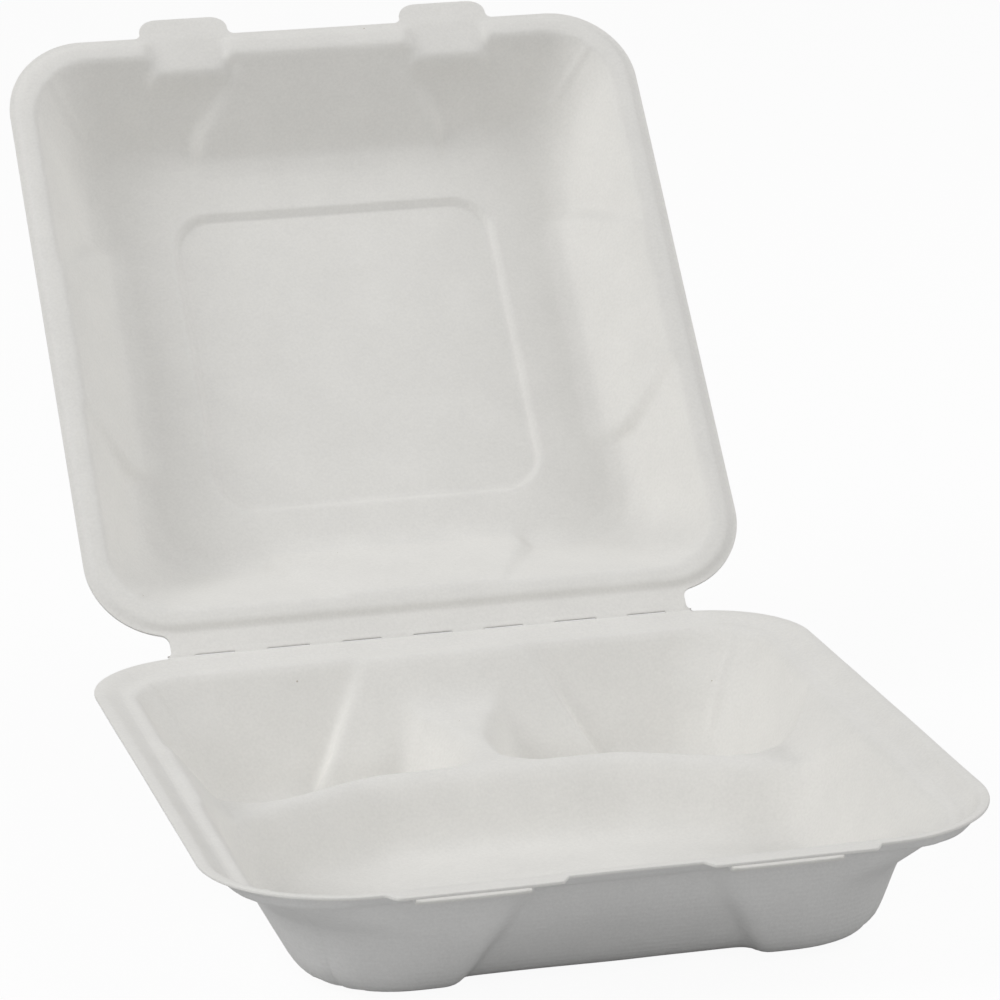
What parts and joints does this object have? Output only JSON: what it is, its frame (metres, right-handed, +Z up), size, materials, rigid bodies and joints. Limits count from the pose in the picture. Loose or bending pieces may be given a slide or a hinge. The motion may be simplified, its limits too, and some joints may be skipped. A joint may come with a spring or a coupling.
{
  "type": "bagasse clamshell container",
  "caption": "Open moulded-fibre clamshell food box: shallow divided tray with stepped rim, embossed lid on a perforated fold, and front tabs that lock into rim slots.",
  "frame": {"origin": "centre of the tray's footprint on the surface it rests on, half way from the fold to the front lip", "axes": "+Z up, +X across the tray along the fold, -Y towards the front edge with the slots"},
  "size_m": [0.23, 0.4035, 0.2185],
  "materials": {
    "tray_fibre": "matte moulded bagasse fibre, fine grain with sparse dark specks",
    "lid_fibre": "matte moulded bagasse fibre, fine grain with sparse dark specks"
  },
  "bodies": {
    "tray": {"base_tray": "tray_fibre"},
    "lid": {"lid": "lid_fibre"}
  },
  "joints": [
    {"name": "lid_fold", "type": "hinge", "parent": "tray", "child": "lid", "pos_m": [0, 0.12, 0.042], "axis": [-1, 0, 0], "range_deg": [-132.8, 48]}
  ]
}
